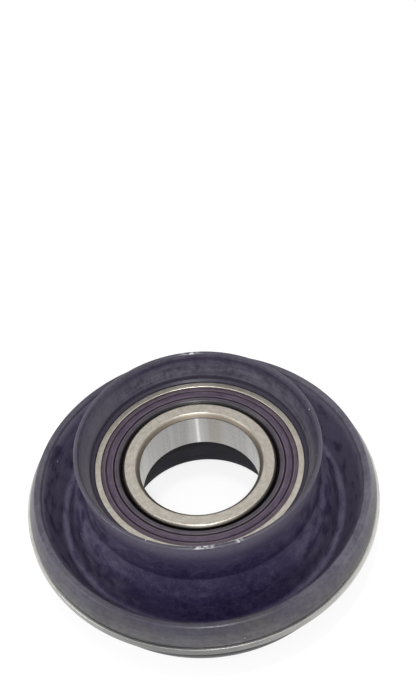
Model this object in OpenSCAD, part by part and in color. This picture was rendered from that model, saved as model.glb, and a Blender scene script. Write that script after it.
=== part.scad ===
// Driveshaft centre bearing: a sealed ball bearing in a moulded rubber cushion.
// The origin is the middle of the bearing, and +Z points out of the cushion's cup.

/* [Bearing] */
// Diameter of the shaft bore
bore_d = 35; // [32:0.5:37]
// Outside diameter of the bearing
bearing_d = 62; // [60:0.5:65]
// Width of the bearing
bearing_w = 14; // [13.5:0.5:17]
// Diameter of the balls
ball_d = 7.938; // [7:0.001:8.5]
// Number of balls
ball_count = 11; // [8:1:12]
// Height of the inner ring's shoulder beside the bottom of its race
inner_shoulder = 2.28; // [1.6:0.02:2.4]
// Height of the outer ring's shoulder beside the bottom of its race
outer_shoulder = 1.58; // [1.2:0.02:2]
// How much larger the radius of the race grooves is than a ball's
race_ease = 0.16; // [0.1:0.01:0.3]
// Running clearance between a ball and the bottom of a race
race_gap = 0.06; // [0.05:0.01:0.1]
// Chamfer at the ends of the shaft bore
bore_chamfer = 1.2; // [0.6:0.1:1.6]
// Chamfer at the outside edges of the outer ring
ring_chamfer = 0.6; // [0.5:0.1:1]
// Bevel at the outside edges of the inner ring, beside the seal's lip
land_bevel = 0.7; // [0.4:0.05:0.9]
// Chamfer at the other edges of the rings
edge_chamfer = 0.25; // [0.1:0.05:0.4]

/* [Cage] */
// Thickness of the cage's sheet steel
cage_t = 0.6; // [0.4:0.05:0.7]
// Radial width of the cage's ribbon
cage_w = 2.6; // [2:0.1:3.2]
// Clearance between a ball and its pocket
pocket_gap = 0.12; // [0.1:0.01:0.2]
// Diameter of a rivet's shank
rivet_d = 1.1; // [0.8:0.1:1.3]
// Diameter of a rivet's head
rivet_head_d = 2; // [1.6:0.1:2.3]
// Height of a rivet's head
rivet_head_h = 0.5; // [0.3:0.1:0.8]
// Height of the straight rim of a rivet's head
rivet_rim_h = 0.2; // [0.1:0.05:0.25]

/* [Seals] */
// Width of the outer ring's step that the seal sits in
seal_step = 1.98; // [1.6:0.02:2.1]
// Width of the gap that the seal's lip leans into, beside the inner ring
lip_w = 0.9; // [0.7:0.02:1.2]
// Depth of the seal below the bearing's face
seal_recess = 0.35; // [0.2:0.05:0.5]
// Width of the seal's rim, out to the middle of its outer ring groove
seal_rim_w = 1.48; // [1.1:0.02:1.8]
// Width of the seal's inner band, out to the middle of its inner ring groove
lip_band_w = 1.46; // [1.1:0.02:2]
// Width of the grooves in the seal's face
seal_line_w = 0.5; // [0.3:0.1:0.8]
// Depth of the grooves in the seal's face
seal_line_depth = 0.3; // [0.1:0.05:0.4]
// How far the seal's bead snaps into the outer ring
seal_snap = 0.45; // [0.2:0.05:0.6]
// Clearance between the seal and the cage
seal_cage_gap = 0.4; // [0.3:0.05:0.6]
// Running clearance of the seal's lip on the inner ring
lip_gap = 0.12; // [0.1:0.01:0.2]
// Thickness of the seal's steel stiffener
stiffener_t = 0.3; // [0.2:0.05:0.4]
// Width of rubber left inside the stiffener, at the lip
stiffener_lip = 1.1; // [0.8:0.1:1.6]
// How far the stiffener reaches over the outer ring's shoulder
stiffener_seat = 0.9; // [0.4:0.1:1.2]

/* [Cushion hub] */
// Rubber wall between the bearing and the hub's outside
hub_wall = 3.4; // [2.8:0.1:4.5]
// Height of the cup's lip above the bearing's face
cup_h = 8.7; // [6:0.1:11]
// How far the lip flares out past the hub
lip_flare = 1.3; // [0.9:0.1:2.2]
// Thickness of the lip's edge
lip_t = 1.1; // [0.9:0.05:1.4]
// Height of the bead that holds the bearing, above the bearing's face
bead_h = 1.9; // [1.4:0.1:2.6]
// Height of the step at the bead's foot
bead_foot_h = 0.63; // [0.4:0.01:0.8]
// Height of the bead's thin edge over the outer ring
bead_edge_h = 0.21; // [0.15:0.01:0.3]
// How far the bead reaches over the outer ring
bead_hold = 0.4; // [0.3:0.05:0.5]
// How far the bead's foot stands outside the bearing
bead_foot_step = 0.45; // [0.3:0.05:0.6]
// How far the bead's ridge stands outside the bearing
ridge_step = 0.9; // [0.6:0.1:1.4]
// Rubber below the bearing, down to the flat face beside the collar
floor_t = 6; // [5:0.25:7.5]
// Distance of the mould line in that flat face from the hub's outside
floor_line_in = 2.7; // [2:0.1:3.6]

/* [Collar] */
// Height of the collar over the flat face
collar_h = 9; // [7:0.5:10.5]
// Diameter of the collar's mouth
mouth_d = 45; // [44:0.25:46.5]
// Thickness of the collar's edge
collar_t = 1.9; // [1.6:0.1:2.4]
// Diameter of the collar inside, under the seal
throat_d = 51.2; // [50:0.2:52.4]
// Depth from the bearing's face to that widest place
throat_drop = 2.9; // [2:0.1:4]
// How far the collar's foot stands out past that widest place
collar_foot_step = 1.6; // [1.2:0.1:2.4]

/* [Web and roll] */
// Depth of the web's foot below the cup side's bearing face
foot_drop = 7; // [5:0.25:9]
// How far the web's foot stands out past the hub
foot_step = 0.7; // [0.4:0.1:1.2]
// How far the web bulges out past the foot
web_bulge = 3.1; // [2.6:0.1:3.6]
// Depth of that bulge below the web's foot
bulge_drop = 5; // [4:0.25:7]
// Height of the notch between the hub and the roll
notch_h = 3.3; // [2.5:0.1:4.5]
// Width of the notch at its bottom
notch_w = 0.7; // [0.6:0.1:1.2]
// Room between the hub and the roll's inner wall
roll_gap = 2; // [1.6:0.1:3]
// Width of the roll
roll_w = 8.4; // [7.6:0.1:9.4]
// Depth of the trough behind the roll, below the rim's top
trough_drop = 14.4; // [12.6:0.1:15.4]
// Distance of the trough's bottom from the roll's inside
trough_in = 5; // [4.4:0.1:5.8]
// Depth of the roll's crest below the bearing's lower face
roll_drop = 19.6; // [18:0.2:22]
// Rounding of the roll's crest
roll_round = 5; // [2.5:0.1:6]
// Distance of the mould line on the roll's crest from the roll's inside
roll_line_in = 4.8; // [4:0.1:5.4]

/* [Rim] */
// How far the rim reaches past the roll
rim_reach = 6.8; // [6.2:0.1:8]
// Height of the rim's land above the roll's crest
rim_rise = 18.2; // [16.6:0.2:19.4]
// Width of the rim's straight land
land_h = 1.8; // [1.2:0.1:3]
// Height of the rim's bead above the land
rim_bead_h = 5.2; // [4.5:0.1:6.5]
// How far the bead's top leans in from the land
rim_lean = 2.1; // [1.4:0.1:2.6]
// Width of the flat on the bead's top
rim_top_w = 1.8; // [1.4:0.1:2.6]

/* [Rim plate] */
// Thickness of the steel plate in the rim
plate_t = 2.4; // [2:0.1:3]
// How far the plate reaches out past the rim's rubber
plate_reach = 0.9; // [0.6:0.1:1.4]
// Width of the plate
plate_w = 3.3; // [2.6:0.1:4]
// Chamfer at the plate's outside edges
plate_chamfer = 0.3; // [0.15:0.05:0.5]
// Width of the plate's lower face that the rubber leaves bare
plate_bare = 1.5; // [1:0.1:2]
// Thickness of the rubber's edge under the plate
cover_t = 1.2; // [0.9:0.1:1.6]
// How far the roll's flank stands out at its ledge
ledge_step = 3.5; // [2.8:0.1:4]
// Height of that ledge above the roll's crest
ledge_rise = 7.4; // [6.4:0.1:8.6]
// How far the groove above the ledge stands back from it
groove_step = 0.3; // [0:0.05:0.6]
// Height of that groove above the roll's crest
groove_rise = 11.8; // [10.8:0.1:12.6]

/* [Roundings] */
// Rounding inside the collar, under the seal
throat_round = 1.5; // [0.8:0.1:2.5]
// Rounding of the collar's edge
collar_round = 0.85; // [0.4:0.05:0.9]
// Rounding at the collar's foot
collar_foot_round = 1.6; // [0.6:0.1:2.5]
// Rounding of the hub's shoulder
shoulder_round = 0.9; // [0.4:0.1:1.4]
// Rounding in the bottom of the notch
notch_round = 0.25; // [0.15:0.05:0.3]
// Rounding of the ledge on the roll's flank
ledge_round = 4; // [1:0.1:5]
// Rounding in the groove above the ledge
groove_round = 2; // [0.5:0.1:2.5]
// Rounding of the rubber's edge under the plate
cover_round = 0.5; // [0.2:0.05:0.6]
// Rounding in the bottom of the trough
trough_round = 1.3; // [0.6:0.1:2]
// Rounding of the web's bulge
bulge_round = 8; // [4:0.5:12]
// Rounding in the crease at the web's foot
crease_round = 1; // [0.5:0.1:2]
// Rounding of the cup's waist
waist_round = 6; // [3:0.5:12]
// Rounding of the lip's edges
lip_round = 0.4; // [0.2:0.05:0.45]
// Rounding of the bead's ridge and foot and of the land's edge
ridge_round = 0.28; // [0.15:0.01:0.3]
// Rounding of the bead's thin edge
bead_round = 0.09; // [0.05:0.01:0.1]
// Rounding of the rim's outer top edge
rim_round = 0.9; // [0.5:0.1:1.4]
// Rounding of the rim's inner top edge
rim_inner_round = 0.7; // [0.3:0.1:0.9]

/* [Hidden] */
$fn = 96;
// Space between pieces that are pressed or bonded together
seat_gap = 0.03;
// Width and depth of the moulding lines in the rubber
mould_line_w = 0.4;
mould_line_depth = 0.3;
// Depth of the seal's bead and of its lip's edge, as shares of the seal's thickness
snap_share = 0.4;
lip_share = 0.75;
// Bevel between the seal's back and its lip, across and up
lip_bevel = 0.3;
lip_lift = 0.16;
// Share of an edge that a rounding may use, where the edge's other end is rounded and where it is sharp
shared_edge = 0.49;
own_edge = 0.98;
// Largest distance between a rounding's arc and its chords
chord_error = 0.006;

// Bearing
face_z = bearing_w / 2;
seat_r = bearing_d / 2;
pitch_r = (bore_d + bearing_d) / 4;
ball_r = ball_d / 2;
race_r = ball_r + race_ease;
pocket_r = ball_r + pocket_gap;
cage_top = pocket_r + cage_t;
outer_bottom_r = pitch_r + ball_r + race_gap;
inner_bottom_r = pitch_r - ball_r - race_gap;
outer_land_r = outer_bottom_r - outer_shoulder;
inner_land_r = inner_bottom_r + inner_shoulder;

// Seals: the space between the cage and the bearing's face
seal_low = cage_top + seal_cage_gap;
seal_high = face_z - seal_recess;
seal_t = seal_high - seal_low;
seal_r = outer_land_r + seal_step;
snap_r = seal_r + seal_snap;
snap_high = seal_high - seal_t * snap_share;
lip_r = inner_land_r + lip_gap;
lip_z = seal_high - seal_t * lip_share;
seal_inner_r = lip_r + lip_w;
stiffener_in_r = seal_inner_r + stiffener_lip;
stiffener_out_r = outer_land_r + stiffener_seat;

// Cushion radii, from the bearing outwards
hub_r = seat_r + hub_wall;
cup_r = hub_r + lip_flare;
foot_r = hub_r + foot_step;
roll_in_r = hub_r + roll_gap;
roll_out_r = roll_in_r + roll_w;
rim_r = roll_out_r + rim_reach;
bead_r = rim_r - rim_lean;
plate_r = rim_r + plate_reach;
plate_in_r = plate_r - plate_w;
cover_r = plate_r - plate_bare;
ledge_r = roll_out_r + ledge_step;

// Cushion heights, from the lip downwards
cup_z = face_z + cup_h;
ridge_z = face_z + bead_h;
foot_z = face_z - foot_drop;
floor_z = -face_z - floor_t;
notch_z = floor_z + notch_h;
collar_z = floor_z - collar_h;
crest_z = -face_z - roll_drop;
land_z = crest_z + rim_rise;
rim_z = land_z + land_h + rim_bead_h;
plate_z = land_z - plate_t;
cover_z = plate_z - cover_t;
ledge_z = crest_z + ledge_rise;
groove_z = crest_z + groove_rise;

ball_names = [for (i = [1 : ball_count]) str("ball_", i < 10 ? "0" : "", i)];

// Direction from one point to another
function toward(a, b) = (b - a) / norm(b - a);

// A corner's place, without its rounding
function place(corner) = [corner[0], corner[1]];

// Share of an edge that a corner's rounding may use, given the corner at the edge's other end
function share(other) = other[2] > 0 ? shared_edge : own_edge;

// The largest rounding, up to the wanted one, that fits on both edges of a corner
function fitted(before, corner, after) =
    let (
        half = acos(toward(place(corner), place(before)) * toward(place(corner), place(after))) / 2,
        room = min(
            norm(place(before) - place(corner)) * share(before),
            norm(place(after) - place(corner)) * share(after)
        )
    )
    min(corner[2], room * tan(half));

// Points along the arc that rounds a corner, or the corner itself where it is sharp
function rounded(before, corner, after) =
    let (
        p = place(corner),
        u = toward(p, place(before)),
        w = toward(p, place(after)),
        half = acos(u * w) / 2,
        r = fitted(before, corner, after),
        centre = p + (u + w) / norm(u + w) * r / sin(half),
        start = p + u * r / tan(half) - centre,
        turn = (180 - 2 * half) * (u[0] * w[1] - u[1] * w[0] < 0 ? 1 : -1),
        steps = max(2, ceil(abs(turn) / (2 * acos(1 - chord_error / max(r, chord_error)))))
    )
    r <= 0 ? [p] : [
        for (i = [0 : steps])
            let (a = turn * i / steps)
            centre + [start[0] * cos(a) - start[1] * sin(a), start[0] * sin(a) + start[1] * cos(a)]
    ];

// An outline of corners, each given as radius, height and rounding, listed anticlockwise
module rounded_outline(corners) {
    count = len(corners);
    polygon([
        for (i = [0 : count - 1])
            each rounded(corners[(i + count - 1) % count], corners[i], corners[(i + 1) % count])
    ]);
}

// A fine moulding line across a flat stretch that runs outwards at height z
function mould_line(r, z) = [
    [r - mould_line_w / 2, z, 0],
    [r, z + mould_line_depth, 0],
    [r + mould_line_w / 2, z, 0]
];

// The cushion's section, from the bearing's seat round the collar, roll, plate, rim and cup
cushion_corners = concat(
    [
        [seat_r + seat_gap, -face_z + ring_chamfer, 0],
        [seat_r - ring_chamfer, -face_z - seat_gap, 0],
        [seal_r + seat_gap, -face_z - seat_gap, 0],
        [throat_d / 2, -face_z - throat_drop, throat_round],
        [mouth_d / 2, collar_z, collar_round],
        [mouth_d / 2 + collar_t, collar_z, collar_round],
        [throat_d / 2 + collar_foot_step, floor_z, collar_foot_round]
    ],
    mould_line(hub_r - floor_line_in, floor_z),
    [
        [hub_r, floor_z, shoulder_round],
        [hub_r, notch_z, notch_round],
        [hub_r + notch_w, notch_z, notch_round],
        [roll_in_r, crest_z, roll_round]
    ],
    mould_line(roll_in_r + roll_line_in, crest_z),
    [
        [roll_out_r, crest_z, roll_round],
        [ledge_r, ledge_z, ledge_round],
        [ledge_r - groove_step, groove_z, groove_round],
        [cover_r, cover_z, cover_round],
        [cover_r, plate_z - seat_gap, 0],
        [plate_in_r - seat_gap, plate_z - seat_gap, 0],
        [plate_in_r - seat_gap, land_z + seat_gap, 0],
        [rim_r, land_z + seat_gap, ridge_round],
        [rim_r, land_z + land_h, rim_round],
        [bead_r, rim_z, rim_round],
        [bead_r - rim_top_w, rim_z, rim_inner_round],
        [roll_in_r + trough_in, rim_z - trough_drop, trough_round],
        [foot_r + web_bulge, foot_z - bulge_drop, bulge_round],
        [foot_r, foot_z, crease_round],
        [hub_r, face_z, waist_round],
        [cup_r, cup_z, lip_round],
        [cup_r - lip_t, cup_z, lip_round],
        [seat_r + ridge_step, ridge_z, ridge_round],
        [seat_r + bead_foot_step, face_z + bead_foot_h, ridge_round],
        [seat_r - bead_hold, face_z + bead_edge_h, bead_round],
        [seat_r - bead_hold, face_z - ring_chamfer + bead_hold + seat_gap * 2, 0],
        [seat_r + seat_gap, face_z - ring_chamfer, 0]
    ]
);

module rubber_cushion() {
    color("#26242e") rotate_extrude() rounded_outline(cushion_corners);
}

module rim_plate() {
    color("#c4c1b8") rotate_extrude() polygon([
        [plate_in_r, plate_z],
        [plate_r - plate_chamfer, plate_z],
        [plate_r, plate_z + plate_chamfer],
        [plate_r, land_z - plate_chamfer],
        [plate_r - plate_chamfer, land_z],
        [plate_in_r, land_z]
    ]);
}

// A ring's section with its race groove cut away at the given radius
module race_cut(r) {
    translate([r, 0]) circle(race_r);
}

module outer_ring() {
    step_z = seal_low - seat_gap;
    half = [
        [outer_land_r, step_z],
        [snap_r + seat_gap, step_z],
        [snap_r + seat_gap, snap_high + seat_gap],
        [seal_r + seat_gap, snap_high + seat_gap],
        [seal_r + seat_gap, face_z - edge_chamfer],
        [seal_r + seat_gap + edge_chamfer, face_z],
        [seat_r - ring_chamfer, face_z],
        [seat_r, face_z - ring_chamfer]
    ];
    color("#c9c3b4") rotate_extrude() difference() {
        polygon(concat(half, [for (i = [len(half) - 1 : -1 : 0]) [half[i][0], -half[i][1]]]));
        race_cut(outer_bottom_r - race_r);
    }
}

module inner_ring() {
    half = [
        [inner_land_r, face_z - land_bevel],
        [inner_land_r - land_bevel, face_z],
        [bore_d / 2 + bore_chamfer, face_z],
        [bore_d / 2, face_z - bore_chamfer]
    ];
    color("#cfc8b8") rotate_extrude() difference() {
        polygon(concat(half, [for (i = [len(half) - 1 : -1 : 0]) [half[i][0], -half[i][1]]]));
        race_cut(inner_bottom_r + race_r);
    }
}

// Puts a copy of its child at each ball, or halfway between the balls
module at_each_ball(between = false) {
    step = 360 / ball_count;
    for (i = [0 : ball_count - 1])
        rotate([0, 0, (i + (between ? 0.5 : 0)) * step]) translate([pitch_r, 0, 0]) children();
}

module ball(index) {
    color("#d8d9dc") rotate([0, 0, (index - 1) * 360 / ball_count]) translate([pitch_r, 0, 0]) sphere(ball_r);
}

// The upper half of the ribbon: a flat washer that rises into a cup over each ball
module cage_half() {
    difference() {
        intersection() {
            union() {
                translate([0, 0, seat_gap / 2]) cylinder(h = cage_t, r = pitch_r + cage_w);
                at_each_ball() sphere(pocket_r + cage_t);
            }
            translate([0, 0, seat_gap / 2]) cylinder(h = cage_top * 2, r = pitch_r + cage_w / 2);
        }
        translate([0, 0, -cage_top]) cylinder(h = cage_top * 3, r = pitch_r - cage_w / 2);
        at_each_ball() sphere(pocket_r);
        at_each_ball(between = true) cylinder(h = cage_top * 2, d = rivet_d + 2 * seat_gap, center = true);
    }
}

module upper_cage_half() {
    color("#9a9da1") cage_half();
}

module lower_cage_half() {
    color("#9a9da1") mirror([0, 0, 1]) cage_half();
}

// A rivet with a flat bevelled head at each end
module rivet() {
    seat_z = cage_t + seat_gap;
    top_z = seat_z + rivet_head_h;
    half = [
        [rivet_d / 2, seat_z],
        [rivet_head_d / 2, seat_z],
        [rivet_head_d / 2, seat_z + rivet_rim_h],
        [rivet_d / 2, top_z],
        [0, top_z]
    ];
    rotate_extrude() polygon(concat(half, [for (i = [len(half) - 1 : -1 : 0]) [half[i][0], -half[i][1]]]));
}

module cage_rivets() {
    color("#b3b5b8") at_each_ball(between = true) rivet();
}

// A shallow groove round the seal's face at radius r
function seal_line(r) = [
    [r + seal_line_w / 2, seal_high],
    [r + seal_line_w / 4, seal_high - seal_line_depth],
    [r - seal_line_w / 4, seal_high - seal_line_depth],
    [r - seal_line_w / 2, seal_high]
];

// The seal on the cup side: bead in the outer ring, grooved face, and a lip that leans in to the inner ring
module seal() {
    back_z = seal_low + stiffener_t + seat_gap;
    rotate_extrude() polygon(concat(
        [
            [stiffener_out_r + seat_gap, back_z],
            [stiffener_out_r + seat_gap, seal_low],
            [snap_r, seal_low],
            [snap_r, snap_high],
            [seal_r, snap_high],
            [seal_r, seal_high - edge_chamfer],
            [seal_r - edge_chamfer, seal_high]
        ],
        seal_line(seal_r - seal_rim_w),
        seal_line(seal_inner_r + lip_band_w),
        [
            [seal_inner_r + edge_chamfer, seal_high],
            [seal_inner_r, seal_high - edge_chamfer],
            [lip_r, lip_z],
            [lip_r, seal_low + lip_lift],
            [stiffener_in_r - seat_gap - lip_bevel, seal_low],
            [stiffener_in_r - seat_gap, seal_low],
            [stiffener_in_r - seat_gap, back_z]
        ]
    ));
}

module upper_seal() {
    color("#4a3c48") seal();
}

module lower_seal() {
    color("#4a3c48") mirror([0, 0, 1]) seal();
}

module seal_stiffener() {
    translate([0, 0, seal_low]) difference() {
        cylinder(h = stiffener_t, r = stiffener_out_r);
        translate([0, 0, -stiffener_t]) cylinder(h = stiffener_t * 3, r = stiffener_in_r);
    }
}

module upper_seal_stiffener() {
    color("#8d9094") seal_stiffener();
}

module lower_seal_stiffener() {
    color("#8d9094") mirror([0, 0, 1]) seal_stiffener();
}

rubber_cushion();
rim_plate();
outer_ring();
inner_ring();
upper_cage_half();
lower_cage_half();
cage_rivets();
upper_seal();
lower_seal();
upper_seal_stiffener();
lower_seal_stiffener();
for (i = [1 : ball_count]) {
    ball(i);
}
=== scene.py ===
"""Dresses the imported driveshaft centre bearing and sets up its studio.

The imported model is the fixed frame. Every ring that shows is swept afresh from its section at a fine
resolution, gets its finish, and takes the place of its plain node. The pieces that are sealed inside the
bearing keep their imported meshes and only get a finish.
"""

import logging
import math
from dataclasses import dataclass
from enum import Enum
from typing import Any

import bpy
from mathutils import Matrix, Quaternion, Vector


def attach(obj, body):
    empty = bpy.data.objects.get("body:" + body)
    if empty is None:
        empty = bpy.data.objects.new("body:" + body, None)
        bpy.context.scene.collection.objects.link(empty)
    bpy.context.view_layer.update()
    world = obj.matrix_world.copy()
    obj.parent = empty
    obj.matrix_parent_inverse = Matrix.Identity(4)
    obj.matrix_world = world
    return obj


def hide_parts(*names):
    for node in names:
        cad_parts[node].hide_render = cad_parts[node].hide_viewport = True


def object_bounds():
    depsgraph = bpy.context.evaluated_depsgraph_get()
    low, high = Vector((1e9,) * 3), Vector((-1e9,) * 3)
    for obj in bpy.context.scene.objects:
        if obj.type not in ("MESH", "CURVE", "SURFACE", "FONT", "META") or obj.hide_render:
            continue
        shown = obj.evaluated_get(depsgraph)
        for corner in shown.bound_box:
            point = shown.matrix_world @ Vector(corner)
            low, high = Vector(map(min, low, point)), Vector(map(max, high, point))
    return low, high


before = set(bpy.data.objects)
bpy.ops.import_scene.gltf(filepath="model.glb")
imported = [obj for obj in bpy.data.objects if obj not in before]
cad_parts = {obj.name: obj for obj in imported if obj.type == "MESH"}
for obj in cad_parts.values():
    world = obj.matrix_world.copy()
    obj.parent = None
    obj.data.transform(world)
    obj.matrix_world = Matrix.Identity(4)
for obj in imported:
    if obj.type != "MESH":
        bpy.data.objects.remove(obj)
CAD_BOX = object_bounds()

LOG = logging.getLogger("centre_bearing")
MM = 0.001
IMAGE_SIZE = (416, 678)

Colour = tuple[float, float, float]
Place = tuple[float, float, float]
Point = tuple[float, float]


class Body(Enum):
    """The rigid bodies that pieces ride on."""

    HOUSING = "housing"
    INNER_RACE = "inner_race"


class Side(Enum):
    """The two sides of the bearing, with the word that names their seals."""

    CUP = "upper"
    COLLAR = "lower"


class Value:
    """A number on a shader socket. Python expressions on it add the Math nodes that work them out."""

    def __init__(self, graph: "NodeGraph", socket: bpy.types.NodeSocket) -> None:
        """Wraps one output socket.

        Args:
            graph: The graph that new nodes go into.
            socket: The output socket that carries the number.
        """
        self.graph = graph
        self.socket = socket

    def math(self, operation: str, *operands: "Value | float") -> "Value":
        """Adds one Math node.

        Args:
            operation: The Math node's operation.
            operands: The node's inputs, in order.

        Returns:
            The node's result.
        """
        inputs = dict(enumerate(operands))
        return self.graph.value("ShaderNodeMath", {"operation": operation}, inputs)

    def __add__(self, other: "Value | float") -> "Value":
        """Adds a value or number."""
        return self.math("ADD", self, other)

    __radd__ = __add__

    def __sub__(self, other: "Value | float") -> "Value":
        """Takes a value or number away."""
        return self.math("SUBTRACT", self, other)

    def __rsub__(self, other: "Value | float") -> "Value":
        """Takes this value away from a number."""
        return self.math("SUBTRACT", other, self)

    def __mul__(self, other: "Value | float") -> "Value":
        """Multiplies by a value or number."""
        return self.math("MULTIPLY", self, other)

    __rmul__ = __mul__

    def __truediv__(self, other: "Value | float") -> "Value":
        """Divides by a value or number."""
        return self.math("DIVIDE", self, other)

    def __rtruediv__(self, other: "Value | float") -> "Value":
        """Divides a number by this value."""
        return self.math("DIVIDE", other, self)

    def __abs__(self) -> "Value":
        """Drops the sign."""
        return self.math("ABSOLUTE", self)

    def power(self, exponent: float) -> "Value":
        """Raises to a power."""
        return self.math("POWER", self, exponent)

    def most(self, other: "Value | float") -> "Value":
        """Takes the larger of two."""
        return self.math("MAXIMUM", self, other)

    def rise(self, low: float, high: float) -> "Value":
        """Goes smoothly from 0 at one level to 1 at another.

        Args:
            low: The level that gives 0.
            high: The level that gives 1, which may be the lower one.

        Returns:
            The smooth step.
        """
        settings = {"interpolation_type": "SMOOTHSTEP"}
        inputs = {"Value": self, "From Min": min(low, high), "From Max": max(low, high)}
        if high < low:
            inputs |= {"To Min": 1.0, "To Max": 0.0}
        return self.graph.value("ShaderNodeMapRange", settings, inputs)

    def near(self, level: float, reach: float) -> "Value":
        """Gives 1 at a level and falls smoothly to 0 at a distance from it."""
        return abs(self - level).rise(reach, 0.0)


class NodeGraph:
    """A node tree, with one way to add any node."""

    def __init__(self, tree: bpy.types.NodeTree) -> None:
        """Takes a tree and empties it.

        Args:
            tree: The node tree.
        """
        self.tree = tree
        tree.nodes.clear()

    def node(
        self,
        kind: str,
        settings: dict[str, Any] | None = None,
        inputs: dict[str | int, Any] | None = None,
    ) -> bpy.types.Node:
        """Adds a node.

        Args:
            kind: The node's type.
            settings: The node's own properties, set first.
            inputs: Values or links of its sockets, by name or index.

        Returns:
            The node.
        """
        made = self.tree.nodes.new(kind)
        for key, setting in (settings or {}).items():
            setattr(made, key, setting)
        for key, item in (inputs or {}).items():
            source = item.socket if isinstance(item, Value) else item
            if isinstance(source, bpy.types.NodeSocket):
                self.tree.links.new(source, made.inputs[key])
            else:
                made.inputs[key].default_value = source
        return made

    def value(self, kind: str, settings: dict[str, Any], inputs: dict[str | int, Any]) -> Value:
        """Adds a node and wraps its first output as a number."""
        return Value(self, self.node(kind, settings, inputs).outputs[0])


@dataclass(frozen=True)
class Grain:
    """Noise without a direction: its features per metre and its octaves."""

    scale: float
    detail: float


@dataclass(frozen=True)
class Swirl:
    """Noise whose marks run round the shaft's axis.

    A turn of one radian moves through the noise by the stretch, in metres. The scale is in features per
    metre, the detail in octaves, and the lift is how much height counts against radius.
    """

    stretch: float
    scale: float
    detail: float
    lift: float = 1.0


@dataclass(frozen=True)
class Specks:
    """Small round specks, one to a cell: cells per metre, the radius in cells, and the share of cells used.

    A speck is full inside the core's share of its radius. The weakest cells, past the full share, fade.
    """

    scale: float
    size: float
    share: float
    core: float = 0.4
    full_share: float = 0.9


class ShaderGraph(NodeGraph):
    """A material's node tree, with the place on the piece at hand as numbers.

    The coordinates and the radius are in metres, r and h are radius and height in millimetres, and turn is
    the angle round the shaft's axis.
    """

    def __init__(self, name: str) -> None:
        """Makes an empty material.

        Args:
            name: The material's name.
        """
        self.material = bpy.data.materials.new(name)
        self.material.use_nodes = True
        super().__init__(self.material.node_tree)
        self.place = self.node("ShaderNodeTexCoord").outputs["Object"]
        split = self.node("ShaderNodeSeparateXYZ", inputs={"Vector": self.place})
        self.x, self.y, self.z = (Value(self, split.outputs[axis]) for axis in "XYZ")
        self.radius = (self.x * self.x + self.y * self.y).power(0.5)
        self.turn = self.x.math("ARCTAN2", self.y, self.x)
        self.r = self.radius / MM
        self.h = self.z / MM

    def noise(self, grain: Grain) -> Value:
        """Adds noise without a direction, from 0 to 1."""
        inputs = {"Vector": self.place, "Scale": grain.scale, "Detail": grain.detail}
        return self.value("ShaderNodeTexNoise", {}, inputs)

    def swirl(self, marks: Swirl) -> Value:
        """Adds noise that runs round the axis without a seam: the radius is its fourth coordinate.

        Args:
            marks: The noise's sizes.

        Returns:
            The noise, from 0 to 1.
        """
        ahead = marks.stretch / self.radius
        flat = {"X": self.x * ahead, "Y": self.y * ahead, "Z": self.z * marks.lift}
        place = self.node("ShaderNodeCombineXYZ", inputs=flat).outputs[0]
        inputs = {"Vector": place, "W": self.radius, "Scale": marks.scale, "Detail": marks.detail}
        return self.value("ShaderNodeTexNoise", {"noise_dimensions": "4D"}, inputs)

    def specks(self, specks: Specks) -> Value:
        """Scatters specks over the piece.

        Args:
            specks: Their size and number.

        Returns:
            1 on a speck and 0 elsewhere.
        """
        cells = self.node("ShaderNodeTexVoronoi", inputs={"Vector": self.place, "Scale": specks.scale})
        near = Value(self, cells.outputs["Distance"]).rise(specks.size, specks.size * specks.core)
        split = self.node("ShaderNodeSeparateColor", inputs={"Color": cells.outputs["Color"]})
        chance = Value(self, split.outputs["Red"])
        return near * chance.rise(1.0 - specks.share, 1.0 - specks.share * specks.full_share)

    def mix(self, share: Value, first: Any, second: Any) -> bpy.types.NodeSocket:
        """Mixes two colours.

        Args:
            share: How much of the second colour.
            first: A colour, or a socket that carries one.
            second: A colour, or a socket that carries one.

        Returns:
            The mixed colour's socket.
        """
        pair = [c if isinstance(c, bpy.types.NodeSocket) else (*c, 1.0) for c in (first, second)]
        # A Mix node has sockets for every data type: inputs 6 and 7 and output 2 are those for colours.
        settings = {"data_type": "RGBA"}
        return self.node("ShaderNodeMix", settings, {0: share, 6: pair[0], 7: pair[1]}).outputs[2]

    def layers(self, base: Any, *coats: tuple[Value, Any]) -> Any:
        """Lays coats over a colour, one after the other.

        Args:
            base: A colour, or a socket that carries one.
            coats: How much of each coat covers what is below it, and the coat's colour.

        Returns:
            The last mix's socket.
        """
        for share, coat in coats:
            base = self.mix(share, base, coat)
        return base

    def bump(self, height: Value, depth: float) -> bpy.types.NodeSocket:
        """Turns a height from 0 to 1 into a normal, with its depth in millimetres."""
        inputs = {"Height": height, "Distance": depth * MM, "Strength": 1.0}
        return self.node("ShaderNodeBump", inputs=inputs).outputs[0]

    def finish(self, **sockets: Any) -> bpy.types.Material:
        """Closes the graph with a Principled shader.

        Args:
            sockets: The shader's inputs, with underscores for spaces.

        Returns:
            The finished material.
        """
        inputs = {key.replace("_", " "): item for key, item in sockets.items()}
        shader = self.node("ShaderNodeBsdfPrincipled", inputs=inputs)
        self.node("ShaderNodeOutputMaterial", inputs={"Surface": shader.outputs[0]})
        return self.material


@dataclass(frozen=True)
class CushionMarks:
    """The noises and specks on the cushion's rubber."""

    streaks: Swirl = Swirl(0.004, 900.0, 3.0)
    strokes: Swirl = Swirl(0.016, 560.0, 8.0, 0.6)
    wipes: Swirl = Swirl(0.06, 165.0, 8.0)
    fine: Swirl = Swirl(0.03, 1500.0, 6.0)
    blotches: Grain = Grain(90.0, 5.0)
    mottling: Grain = Grain(640.0, 8.0)
    grain: Grain = Grain(2400.0, 3.0)
    dust: Specks = Specks(1300.0, 0.16, 0.10)
    lint: Specks = Specks(420.0, 0.11, 0.03)


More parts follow.
